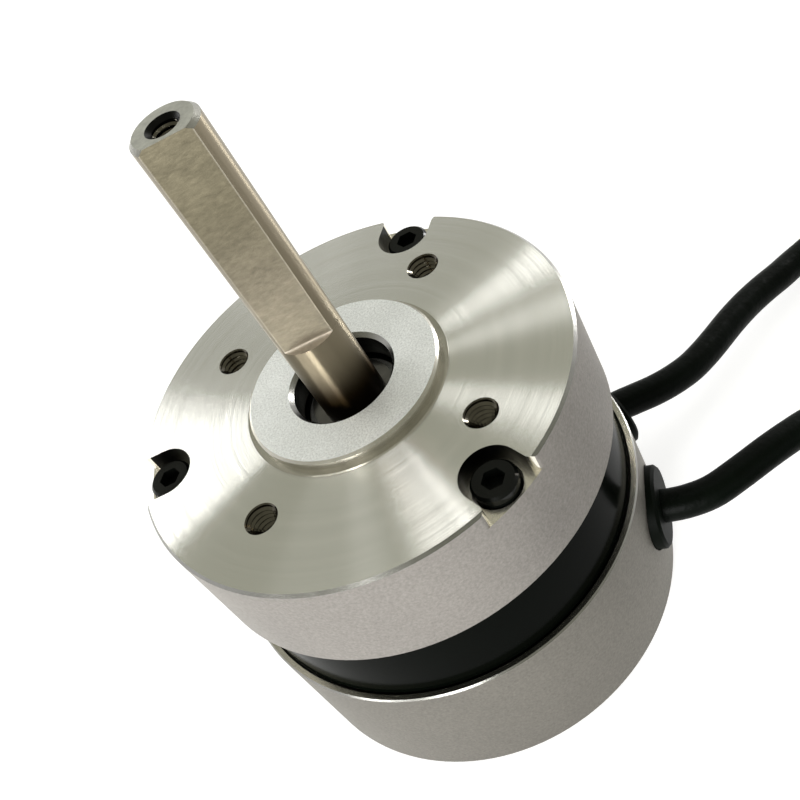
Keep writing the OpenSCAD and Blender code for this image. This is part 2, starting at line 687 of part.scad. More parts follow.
// the key's space, widened by a clearance
module key_slot(gap) translate([shaft_r - key_in, -key_w / 2 - gap, z_mid - key_l / 2 - gap])
  cube([key_in + key_out + gap, key_w + 2 * gap, key_l + 2 * gap]);

module rotor_key() color([0.5, 0.5, 0.52]) key_slot(0);

module rotor_spacer() color([0.6, 0.6, 0.62]) difference() {
  ring(spacer_r, shaft_r + fit, z_fdisc - z_rdisc1, z_rdisc1);
  key_slot(fit);
  for (s = [0, 1]) around(3, 60 * s + 30)
    translate([rotor_screw_r, 0, s == 1 ? z_fdisc - rotor_screw_l : z_rdisc1 - 1])
    cylinder(r = small_d / 2 + thread_gap, h = rotor_screw_l + 1);
}

// a magnet disc between z and z + rotor_t, with its three counterbored holes
module magnet_disc(z, start, head_z, collar_z, collar_h) difference() {
  union() {
    cylinder_at(rotor_r, z, rotor_t);
    cylinder_at(collar_r, collar_z, collar_h);
  }
  translate([0, 0, -1]) cylinder(r = shaft_r + fit, h = z_face);
  around(3, start) {
    translate([rotor_screw_r, 0, z - 1]) cylinder(r = small_d / 2 + hole_gap, h = rotor_t + 2);
    translate([rotor_screw_r, 0, head_z]) cylinder(r = small_head_r + hole_gap, h = small_head_h + 0.2);
  }
}

module cylinder_at(r, z, h) translate([0, 0, z]) cylinder(r = r, h = h);

module front_disc() color([0.45, 0.46, 0.48])
  magnet_disc(z_fdisc, 90, z_fdisc1 - small_head_h, z_fdisc, z_fbear - z_fdisc);

module rear_disc() color([0.45, 0.46, 0.48])
  magnet_disc(z_rdisc, 30, z_rdisc - 0.2, z_rbear1, z_rdisc1 - z_rbear1);

// arc magnets with a gap between neighbours
module magnets(z, start) around(magnet_n, start) translate([0, 0, z])
  rotate_extrude(angle = 360 / magnet_n - magnet_open) translate([magnet_ri, 0])
    square([magnet_ro - magnet_ri, magnet_t]);

module front_magnets() color([0.7, 0.7, 0.72]) magnets(z_fmag, 0);
module rear_magnets() color([0.7, 0.7, 0.72]) magnets(z_rdisc1, 0);

module rotor_screws() color([0.3, 0.3, 0.32]) {
  around(3, 90) translate([rotor_screw_r, 0, z_fdisc1 - small_head_h])
    cap_screw(small_d, rotor_screw_l, 2 * small_head_r, small_head_h, small_af);
  around(3, 30) translate([rotor_screw_r, 0, z_rdisc + small_head_h]) rotate([180, 0, 0])
    cap_screw(small_d, rotor_screw_l, 2 * small_head_r, small_head_h, small_af);
}

module sensor_ring() color([0.2, 0.2, 0.22]) 
  ring(board_ri + ring_w, board_ri, ring_h, z_rdisc - ring_h);

module circlip(z) translate([0, 0, z]) rotate([0, 0, 100]) rotate_extrude(angle = 325)
  translate([shaft_r - clip_groove + 0.01, 0]) square([clip_r - shaft_r + clip_groove - 0.01, clip_t]);

module front_circlip() color([0.4, 0.4, 0.42]) circlip(z_fbear1);
module rear_circlip() color([0.4, 0.4, 0.42]) circlip(z_rbear - clip_t);

// a grommet: outer flange on its flat seat, neck through the wall, lip inside
module grommet(az) difference() {
  union() {
    outwards(az, outlet_z, seat_x) cylinder(d = flange_d, h = flange_x - seat_x - flange_round);
    outwards(az, outlet_z, flange_x - flange_round)
      cylinder(d1 = flange_d, d2 = flange_d - 2 * flange_round, h = flange_round);
    outwards(az, outlet_z, lip_x - 0.1) cylinder(r = neck_r, h = seat_x - lip_x + 0.2);
    outwards(az, outlet_z, lip_x - lip_t) cylinder(r = lip_r, h = lip_t);
  }
  outwards(az, outlet_z, lip_x - lip_t - 1) cylinder(d = cable_d, h = 12);
}

module power_grommet() color([0.07, 0.07, 0.07]) grommet(power_az);
module sensor_grommet() color([0.07, 0.07, 0.07]) grommet(sensor_az);

// bare ends of the wires, from the cable's end to their pads
module leads(az, n, step, r) for (i = [0 : n - 1]) rotate([0, 0, az])
  translate([cable_x - lead_l, in_row(i, n, step), z_board1 + pad_h + r]) rotate([0, 90, 0])
    cylinder(r = r, h = lead_l, $fn = 24);

module power_leads() color([0.7, 0.5, 0.2]) leads(power_az, power_n, power_lead_step, power_lead_r);
module sensor_leads() color([0.6, 0.2, 0.2]) leads(sensor_az, sensor_n, sensor_lead_step, sensor_lead_r);

function unit(v) = v / norm(v);
function along(p, i) = unit(p[min(i + 1, len(p) - 1)] - p[max(i - 1, 0)]);

// a round tube swept along the points p, from one of them to another
module tube(p, from, to, r, n) {
  rings = [for (i = [from : to]) let (t = along(p, i), s = unit(cross(t, [0, 0, 1])), u = cross(s, t))
    each [for (k = [0 : n - 1]) p[i] + r * (cos(k * 360 / n) * s + sin(k * 360 / n) * u)]];
  last = (to - from) * n;
  faces = concat([[for (k = [0 : n - 1]) k]], [[for (k = [n - 1 : -1 : 0]) last + k]],
    [for (i = [0 : to - from - 1], k = [0 : n - 1])
      [i * n + k, (i + 1) * n + k, (i + 1) * n + (k + 1) % n, i * n + (k + 1) % n]]);
  polyhedron(rings, faces);
}

// every point of a lead: its route, its coil's turns and its last stretch
function climb(t) = let (x = max(0, min(1, (t - climb_from) / (climb_to - climb_from)))) x * x * (3 - 2 * x);
function turned(p, a) = [p[0] * cos(a) - p[1] * sin(a), p[0] * sin(a) + p[1] * cos(a), p[2]];
function lead_points(route, at, az) = concat(route,
  [for (k = [1 : coil_steps - 1]) let (t = k * 360 * coil_turns / coil_steps)
    at + turned([coil_r, 0, coil_z + coil_rise * climb(t)], az - t)],
  [for (p = tail_route) at + turned(p, az + coil_end)]);

// one stretch of a lead: 0 is its cable up to the coil, 1 its coil, 2 its last stretch
module lead(route, at, az, k) {
  points = lead_points(route, at, az);
  coil_start = len(route) - 1;
  cuts = [0, coil_start, coil_start + coil_steps, len(points) - 1];
  tube(points, cuts[k], cuts[k + 1], cable_d / 2, 10);
}

// what follows is placed as seen from the plug's end of the cable
module at_plug(at, az) translate(at) rotate([0, 0, az + coil_end]) translate([plug_at[0], plug_at[1], 0])
  rotate([0, 0, plug_az]) children();

// a flat twist tie round the turns that lie on each other
module tie(at, az) translate(at) rotate([0, 0, az + tie_az]) {
  w = cable_d + 0.5;
  h = coil_rise + cable_d + 0.1;
  translate([coil_r - w / 2, -tie_w / 2, 0]) difference() {
    translate([-tie_t, 0, 0]) cube([w + 2 * tie_t, tie_w, h + 2 * tie_t]);
    translate([0, -1, tie_t]) cube([w, tie_w + 2, h]);
  }
  translate([coil_r, 0, h + 2 * tie_t - 0.1]) rotate([0, 0, 110]) translate([0, -1, 0])
    cube([9, 2, tie_t + 0.4]);
}

// a plug housing lying flat, its cable end at x = 0, with n contact chambers
module plug_body(w, h, l, n, step, hole) difference() {
  union() {
    translate([0, -w / 2, 0]) cube([l, w, h]);
    translate([-2, 0, plug_at[2]]) rotate([0, 90, 0]) cylinder(d = cable_d + 1, h = 2.5);
    translate([l * 0.35, -w / 2 - 0.6, h * 0.3]) cube([l * 0.4, w + 1.2, h * 0.3]);
    translate([l * 0.3, -1.5, h - 0.1]) cube([l * 0.5, 3, 0.8]);
  }
  translate([-3, 0, plug_at[2]]) rotate([0, 90, 0]) cylinder(d = cable_d, h = 3);
  for (i = [0 : n - 1]) translate([l - chamber_l, in_row(i, n, step) - hole / 2, (h - hole) / 2])
    cube([chamber_l + 1, hole, hole]);
}

module plug_contacts(h, l, n, step, t) for (i = [0 : n - 1])
  translate([l - chamber_l, in_row(i, n, step) - t / 2, (h - t) / 2]) cube([chamber_l - 1, t, t]);

module power_cable() color([0.09, 0.09, 0.09]) lead(power_route, power_coil_at, power_coil_az, 0);
module power_coil() color([0.09, 0.09, 0.09]) lead(power_route, power_coil_at, power_coil_az, 1);
module power_tail() color([0.09, 0.09, 0.09]) lead(power_route, power_coil_at, power_coil_az, 2);
module power_tie() color([0.9, 0.9, 0.9]) tie(power_coil_at, power_coil_az);
module power_plug() color([0.85, 0.83, 0.78]) at_plug(power_coil_at, power_coil_az)
  plug_body(power_plug_w, power_plug_h, power_plug_l, power_n, power_step, power_chamber);
module power_contacts() color([0.8, 0.7, 0.4]) at_plug(power_coil_at, power_coil_az)
  plug_contacts(power_plug_h, power_plug_l, power_n, power_step, power_contact);
module sensor_cable() color([0.09, 0.09, 0.09]) lead(sensor_route, sensor_coil_at, sensor_coil_az, 0);
module sensor_coil() color([0.09, 0.09, 0.09]) lead(sensor_route, sensor_coil_at, sensor_coil_az, 1);
module sensor_tail() color([0.09, 0.09, 0.09]) lead(sensor_route, sensor_coil_at, sensor_coil_az, 2);
module sensor_tie() color([0.9, 0.9, 0.9]) tie(sensor_coil_at, sensor_coil_az);
module sensor_plug() color([0.85, 0.83, 0.78]) at_plug(sensor_coil_at, sensor_coil_az)
  plug_body(sensor_plug_w, sensor_plug_h, sensor_plug_l, sensor_n, sensor_step, sensor_chamber);
module sensor_contacts() color([0.8, 0.7, 0.4]) at_plug(sensor_coil_at, sensor_coil_az)
  plug_contacts(sensor_plug_h, sensor_plug_l, sensor_n, sensor_step, sensor_contact);

front_cap();
rear_cap();
stator_ring();
front_cover();
rear_cover();
stator_cores();
bobbins();
windings();
phase_wires();
sensor_board();
hall_sensors();
board_screws();
case_screws();
wave_washer();
front_bearing_outer();
front_bearing_shields();
rear_bearing_outer();
rear_bearing_shields();
power_grommet();
sensor_grommet();
power_leads();
sensor_leads();
power_cable();
power_coil();
power_tail();
power_tie();
power_plug();
power_contacts();
sensor_cable();
sensor_coil();
sensor_tail();
sensor_tie();
sensor_plug();
sensor_contacts();
shaft();
rotor_key();
rotor_spacer();
front_disc();
rear_disc();
front_magnets();
rear_magnets();
rotor_screws();
sensor_ring();
front_circlip();
rear_circlip();
front_bearing_inner();
rear_bearing_inner();
front_bearing_balls();
front_bearing_cage();
rear_bearing_balls();
rear_bearing_cage();
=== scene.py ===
import bmesh
import bpy
import numpy as np
from mathutils import Matrix


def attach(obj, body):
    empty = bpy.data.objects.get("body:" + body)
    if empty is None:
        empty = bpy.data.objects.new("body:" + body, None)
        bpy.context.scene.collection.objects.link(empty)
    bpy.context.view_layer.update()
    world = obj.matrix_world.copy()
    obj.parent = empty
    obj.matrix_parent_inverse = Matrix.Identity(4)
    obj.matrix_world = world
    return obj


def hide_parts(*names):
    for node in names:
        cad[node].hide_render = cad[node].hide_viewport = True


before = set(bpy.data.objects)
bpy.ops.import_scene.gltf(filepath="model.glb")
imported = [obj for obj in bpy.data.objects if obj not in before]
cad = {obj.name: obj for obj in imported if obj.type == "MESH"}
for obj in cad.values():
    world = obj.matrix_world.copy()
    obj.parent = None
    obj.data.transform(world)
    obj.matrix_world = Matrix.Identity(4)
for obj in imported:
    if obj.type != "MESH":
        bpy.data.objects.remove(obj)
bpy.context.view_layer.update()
print("frame:", len(cad), "nodes from the CAD model")

# camera
camera = {
    "lens": 50.4,
    "place": (-0.05768, -0.08278, 0.13503),
    "right": (0.42968, -0.80880, -0.40152),
    "up": (0.78906, 0.12011, 0.60246),
    "back": (-0.43904, -0.57569, 0.68980),
    "sensorWidth": 36,
    "clip": (0.005, 20),       # nearest and furthest distance shown
}


def makeCamera(sizes):
    data = bpy.data.cameras.new("camera")
    data.lens = sizes["lens"]
    data.sensor_width = sizes["sensorWidth"]
    data.clip_start, data.clip_end = sizes["clip"]
    shot = bpy.data.objects.new("camera", data)
    bpy.context.scene.collection.objects.link(shot)
    axes = Matrix((sizes["right"], sizes["up"], sizes["back"])).transposed().to_4x4()
    shot.matrix_world = Matrix.Translation(sizes["place"]) @ axes
    bpy.context.scene.camera = shot


makeCamera(camera)


# surfaces from arrays
def addPiece(name, points, faces, smooth=True):
    # an object at the origin whose mesh has its place in its points
    mesh = bpy.data.meshes.new(name)
    mesh.from_pydata(points.reshape(-1, 3).tolist(), [], faces)
    mesh.validate()
    mesh.polygons.foreach_set("use_smooth", np.full(len(mesh.polygons), smooth))
    piece = bpy.data.objects.new(name, mesh)
    bpy.context.scene.collection.objects.link(piece)
    return piece


def ringFaces(rows, sides):
    # quads between neighbouring rings, then one flat face on each end ring
    row, side = np.meshgrid(np.arange(rows - 1), np.arange(sides), indexing="ij")
    after = (side + 1) % sides
    here, above = row * sides, (row + 1) * sides
    quads = np.stack([here + side, here + after, above + after, above + side], -1)
    ends = [list(range(sides - 1, -1, -1)), list(range((rows - 1) * sides, rows * sides))]
    return quads.reshape(-1, 4).tolist() + ends


def carryProfile(path, profile, sideways, upwards):
    # each point is the path's point, plus the profile's first number sideways and its second upwards
    over, rise = profile[None, :, :1], profile[None, :, 1:]
    return path[:, None] + over * sideways[:, None] + rise * upwards[:, None]


def unit(v):
    # each vector divided by its own length
    return v / np.linalg.norm(v, axis=-1, keepdims=True)


def smoothLine(points, step, cuts=24):
    # a cubic between each two points, whose slope at a point is half the way from the point before to the one
    # after, then points a fixed step apart along it
    ends = np.vstack([2 * points[0] - points[1], points, 2 * points[-1] - points[-2]])
    t = np.linspace(0, 1, cuts, endpoint=False)[None, :, None]
    a, b, c, d = (ends[k:len(ends) - 3 + k, None] for k in range(4))
    square, cube = (2 * a - 5 * b + 4 * c - d) * t ** 2, (3 * b - a - 3 * c + d) * t ** 3
    curve = 0.5 * (2 * b + (c - a) * t + square + cube)
    curve = np.vstack([curve.reshape(-1, 3), points[-1:]])
    along = np.concatenate([[0], np.cumsum(np.linalg.norm(np.diff(curve, axis=0), axis=1))])
    stations = np.linspace(0, along[-1], int(along[-1] / step) + 1)
    return np.stack([np.interp(stations, along, curve[:, k]) for k in range(3)], 1)


# cables
lead = {
    "diameter": 0.0045,
    "sides": 28,
    "step": 0.0009,
    "coilRadius": 0.0225,
    "coilTurns": 1.3,
    "coilPoints": 35,
    "coilHeight": 0.00265,
    "coilRise": 0.0046,        # how far the second turn lies above the first
    "climb": (215, 325),       # the part of the first turn, in degrees, on which the cable climbs
}
powerLead = {
    "coilAngle": -35, "exit": (0.01133, -0.02735, 0.0104), "length": 0.301,
    "route": [
        (7.9, -19.1, 10.4), (9.6, -23.1, 10.4), (11.3, -27.4, 10.4), (12.7, -30.3, 10.4),
        (14.9, -33, 10.3), (18.4, -35.4, 10.1), (22.5, -37.8, 9.7), (25.8, -39.6, 9),
        (28.8, -41.3, 8.2), (32, -43.5, 7.2), (35.9, -48.6, 5.9), (37.9, -54.3, 4.6),
        (38.2, -60.4, 3.5), (37.1, -66.8, 2.9), (34.8, -73.2, 2.65), (31.7, -79.4, 2.65),
        (27.9, -85.3, 2.65)],
}
sensorLead = {
    "coilAngle": 15, "exit": (0.02563, -0.0148, 0.0104), "length": 0.312,
    "route": [
        (17.9, -10.3, 10.4), (21.7, -12.5, 10.4), (25.6, -14.8, 10.3), (27.9, -16.7, 9.8),
        (30.4, -18.8, 9.1), (33, -20.6, 8.5), (36.1, -22.2, 7.9), (39.3, -23.2, 7.4),
        (42.5, -23.9, 6.9), (46.6, -24.7, 6.3), (50.7, -25.7, 5.6), (54.6, -27, 4.9),
        (58.3, -28.5, 4.2), (62.5, -30.1, 3.5), (69.9, -34.1, 3), (75.8, -40.1, 2.8),
        (80.2, -47.4, 2.65), (83.6, -55.6, 2.65), (86.2, -64.2, 2.65)],
}
lastStretch = [
    (22.5, 0, 7.25), (21.5, -6, 7.25), (18.5, -11.3, 7.2), (13.9, -14.7, 6.6),
    (8.5, -15.8, 5.1), (3.2, -14.6, 3.8), (-1.1, -11.5, 3.1), (-3.8, -7.6, 3), (-5.6, -3.9, 3)]


def leadPath(sizes):
    # the route, then a clockwise coil whose height climbs past one cable before it comes round to its own
    # start, then the last stretch, turned to the coil's end
    route, start = np.array(sizes["route"]) / 1000, np.radians(sizes["coilAngle"])  # routes are in millimetres
    sweep = 360 * lead["coilTurns"]
    centre = route[-1] * [1, 1, 0] - lead["coilRadius"] * np.array([np.cos(start), np.sin(start), 0])
    turn = np.linspace(0, sweep, lead["coilPoints"] + 2)[1:-1]
    climb = np.clip((turn - lead["climb"][0]) / (lead["climb"][1] - lead["climb"][0]), 0, 1)
    way = start - np.radians(turn)
    coil = np.stack([lead["coilRadius"] * np.cos(way), lead["coilRadius"] * np.sin(way),
                     lead["coilHeight"] + lead["coilRise"] * climb ** 2 * (3 - 2 * climb)], 1)
    end = start - np.radians(sweep)
    turned = np.array([[np.cos(end), np.sin(end), 0], [-np.sin(end), np.cos(end), 0], [0, 0, 1]])
    points = np.vstack([route, centre + coil, centre + np.array(lastStretch) / 1000 @ turned])
    return smoothLine(points, lead["step"])


def makeLead(name, sizes):
    # a circle carried along the path, with its sideways direction kept level
    path = leadPath(sizes)
    print(name, "is", round(float(np.linalg.norm(np.diff(path, axis=0), axis=1).sum()), 4), "m long")
    ahead = unit(np.gradient(path, axis=0))
    sideways = unit(np.cross(ahead, [0, 0, 1]))
    upwards = np.cross(sideways, ahead)
    angle = np.linspace(0, 2 * np.pi, lead["sides"], endpoint=False)
    profile = lead["diameter"] / 2 * np.stack([np.cos(angle), np.sin(angle)], 1)
    grid = carryProfile(path, profile, sideways, upwards)
    piece = addPiece(name, grid, ringFaces(len(path), lead["sides"]))
    print(name, "has", len(piece.data.polygons), "faces")
    return piece, path


for name, sizes in (("power", powerLead), ("sensor", sensorLead)):
    piece, path = makeLead(name + "Lead", sizes)
    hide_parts(name + "_cable", name + "_coil", name + "_tail")
    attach(piece, "housing")
print("leads made")


# threads in the tapped holes
threadShape = {
    "sides": 36,               # points in each turn
    "foot": 0.46,              # half the ridge's height at the wall, as a share of the pitch
    "flatCrest": 0.12,         # the crest's height as a share of the foot's
    "fadeOver": 2,             # radians over which both ends sink into the wall
    "fadeTo": 0.02,
}
faceThreads = {"radius": 0.00199, "crest": 0.00168, "pitch": 0.0007, "top": 0.0458, "depth": 0.0056,
               "circle": 0.0195, "angle": -3.3, "count": 4}
endThread = {"radius": 0.00149, "crest": 0.00124, "pitch": 0.0005, "top": 0.0858, "depth": 0.0055,
             "circle": 0, "angle": 0, "count": 1}


def threadRidge(sizes, centre):
    # a ridge with a narrow flat crest wound up the hole's wall: its height grows evenly with the angle, and the
    # crest sinks at both ends
    turns = sizes["depth"] / sizes["pitch"]
    angle = np.linspace(0, 2 * np.pi * turns, int(turns * threadShape["sides"]))
    height = sizes["top"] - sizes["depth"] + sizes["pitch"] * angle / (2 * np.pi)
    path = np.stack([np.full_like(angle, centre[0]), np.full_like(angle, centre[1]), height], 1)
    outwards = np.stack([np.cos(angle), np.sin(angle), np.zeros_like(angle)], 1)
    fromEnd = np.minimum(angle, angle[-1] - angle)
    fade = np.clip(fromEnd / threadShape["fadeOver"], threadShape["fadeTo"], 1)[:, None]
    wall, half = sizes["radius"], sizes["pitch"] * threadShape["foot"]
    crestHalf = threadShape["flatCrest"] * half * fade
    crest = wall - (wall - sizes["crest"]) * fade
    reach = np.concatenate([np.full_like(crest, wall), np.full_like(crest, wall), crest, crest], 1)
    rise = np.concatenate([-half * fade, half * fade, crestHalf, -crestHalf], 1)
    grid = path[:, None] + reach[..., None] * outwards[:, None]
    grid[..., 2] += rise
    return grid


def makeThreads(name, sizes, body):
    # the same ridge in each hole, with the holes set evenly round the axis
    points, faces = [], []
    for k in range(sizes["count"]):
        way = np.radians(sizes["angle"] + 360 * k / sizes["count"])
        grid = threadRidge(sizes, sizes["circle"] * np.array([np.cos(way), np.sin(way)]))
        start = sum(len(p) for p in points)
        faces += [[start + i for i in face] for face in ringFaces(*grid.shape[:2])]
        points.append(grid.reshape(-1, 3))
    piece = addPiece(name, np.vstack(points), faces, smooth=False)
    fixNormals(piece)
    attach(piece, body)
    return piece


def fixNormals(piece):
    work = bmesh.new()
    work.from_mesh(piece.data)
    bmesh.ops.recalc_face_normals(work, faces=work.faces)
    work.to_mesh(piece.data)
    work.free()


faceThreadPiece = makeThreads("faceThreads", faceThreads, "housing")
endThreadPiece = makeThreads("endThread", endThread, "rotor")
print("threads made")

# the two caps and the shaft, each as one closed mesh that can carry several finishes
frontCap = {
    "faceHeight": 0.046, "bossHeight": 0.0476, "bodyRadius": 0.0285, "boreRadius": 0.0065,
    "screwCircle": 0.0253, "screwAngle": 10.8, "screwCount": 3, "notchRadius": 0.0036,
    "holeCircle": 0.0195, "holeAngle": -3.3, "holeCount": 4, "holeRadius": 0.002,
}
rearCap = {
    "ledgeHeight": 0.0196, "ledgeInside": 0.0268, "bodyRadius": 0.0285,
    "shadeReach": (0.024, 0.0282), "shadeDepth": 0.0012,       # the wall in shadow just under the ledge
}
shaft = {
    "endHeight": 0.0864, "flatAngle": 219.9, "flatReach": 0.0026, "flatFrom": 0.05665, "radius": 0.004,
    "endHoleReach": 0.0022, "endHoleDepth": 0.01,
}


def mergedCopy(node, sharpFrom=28, joinWithin=2e-6):
    # the CAD solid's loose triangles joined where they meet, with shading broken at edges sharper than the
    # angle
    mesh = cad[node].data.copy()
    work = bmesh.new()
    work.from_mesh(mesh)
    bmesh.ops.remove_doubles(work, verts=work.verts, dist=joinWithin)
    work.to_mesh(mesh)
    work.free()
    mesh.attributes.remove(mesh.attributes["custom_normal"])  # they belong to the loose triangles
    piece = bpy.data.objects.new(node + "_finished", mesh)
    bpy.context.scene.collection.objects.link(piece)
    mesh.polygons.foreach_set("use_smooth", np.ones(len(mesh.polygons), bool))
    mesh.set_sharp_from_angle(angle=np.radians(sharpFrom))
    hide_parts(node)
    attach(piece, "rotor" if node == "shaft" else "housing")
    print(node, "joined:", len(mesh.polygons), "faces")
    return piece


frontCapPiece = mergedCopy("front_cap")
rearCapPiece = mergedCopy("rear_cap")
shaftPiece = mergedCopy("shaft")


# node helpers
def addNode(tree, kind, values=(), **settings):
    node = tree.nodes.new(kind)
    for key, value in settings.items():
        setattr(node, key, value)
    for key, value in dict(values).items():
        node.inputs[key].default_value = value
    return node


def wire(tree, *pairs):
    for fromSocket, toSocket in pairs:
        tree.links.new(fromSocket, toSocket)


def newGroup(name, inputs, outputs):
    kinds = {"value": "NodeSocketFloat", "colour": "NodeSocketColor", "vector": "NodeSocketVector"}
    tree = bpy.data.node_groups.new(name, "ShaderNodeTree")
    for label, kind, start in inputs:
        socket = tree.interface.new_socket(name=label, in_out="INPUT", socket_type=kinds[kind])
        socket.default_value = start
    for label, kind in outputs:
        tree.interface.new_socket(name=label, in_out="OUTPUT", socket_type=kinds[kind])
    return tree, tree.nodes.new("NodeGroupInput").outputs, tree.nodes.new("NodeGroupOutput").inputs


def mixColours(tree, factor, a, b, blend="MIX"):
    mix = tree.nodes.new("ShaderNodeMix")
    mix.data_type, mix.blend_type = "RGBA", blend
    # of a colour mix, the factor is input 0, the colours are inputs 6 and 7, and the result is output 2
    for socket, source in ((mix.inputs[0], factor), (mix.inputs[6], a), (mix.inputs[7], b)):
        if isinstance(source, bpy.types.NodeSocket):
            tree.links.new(source, socket)
        else:
            socket.default_value = source
    return mix.outputs[2]


def maths(tree, operation, a, b=0.0, clamp=False):
    node = tree.nodes.new("ShaderNodeMath")
    node.operation, node.use_clamp = operation, clamp
    for socket, source in zip(node.inputs, (a, b)):
        if isinstance(source, bpy.types.NodeSocket):
            tree.links.new(source, socket)
        else:
            socket.default_value = source
    return node.outputs[0]


def around(tree, noise, strength):
    # a noise's distance from its middle, times a strength
    return maths(tree, "MULTIPLY", maths(tree, "SUBTRACT", noise, 0.5), strength)


def grainGroup():
    # cloudy tone plus fine specks, in object space: colour, roughness and a bumped normal
    tree, into, out = newGroup("grain", [
        ("Colour", "colour", (0.5, 0.5, 0.5, 1)), ("Speck Scale", "value", 3000),
        ("Speck Contrast", "value", 0.1), ("Cloud Scale", "value", 60), ("Cloud Contrast", "value", 0.08),
        ("Roughness", "value", 0.5), ("Roughness Spread", "value", 0.08),
        ("Bump Height", "value", 0.00002), ("Stretch", "vector", (1, 1, 1)),
    ], [("Colour", "colour"), ("Roughness", "value"), ("Normal", "vector")])
    place = addNode(tree, "ShaderNodeTexCoord").outputs["Object"]
    stretched = addNode(tree, "ShaderNodeVectorMath", operation="MULTIPLY")
    specks = addNode(tree, "ShaderNodeTexNoise", {"Detail": 3.0, "Roughness": 0.65})
    clouds = addNode(tree, "ShaderNodeTexNoise", {"Detail": 4.0, "Roughness": 0.5})
    wire(tree, (place, stretched.inputs[0]), (into["Stretch"], stretched.inputs[1]),
         (stretched.outputs[0], specks.inputs["Vector"]), (into["Speck Scale"], specks.inputs["Scale"]),
         (stretched.outputs[0], clouds.inputs["Vector"]), (into["Cloud Scale"], clouds.inputs["Scale"]))
    speckTone = around(tree, specks.outputs[0], into["Speck Contrast"])
    cloudTone = around(tree, clouds.outputs[0], into["Cloud Contrast"])
    tone = maths(tree, "MULTIPLY_ADD", maths(tree, "ADD", speckTone, cloudTone), 2.0)
    tone.node.inputs[2].default_value = 1.0
    toned = addNode(tree, "ShaderNodeVectorMath", operation="SCALE")
    wire(tree, (into["Colour"], toned.inputs[0]), (tone, toned.inputs["Scale"]),
         (toned.outputs[0], out["Colour"]))
    spread = around(tree, clouds.outputs[0], into["Roughness Spread"])
    wire(tree, (maths(tree, "ADD", into["Roughness"], spread, clamp=True), out["Roughness"]))
    bump = addNode(tree, "ShaderNodeBump", {"Strength": 1.0})
    wire(tree, (specks.outputs[0], bump.inputs["Height"]), (into["Bump Height"], bump.inputs["Distance"]),
         (bump.outputs[0], out["Normal"]))
    return tree


turning = {
    "broadScale": 700.0, "smearScale": 220.0, "smearRoughness": 0.015, "ringRoughness": 0.01,
    "nickScale": 420.0, "nickFrom": 0.74, "nickTo": 0.82, "nickDepth": 0.00006,
    "groovesPerMetre": 60000.0,
}


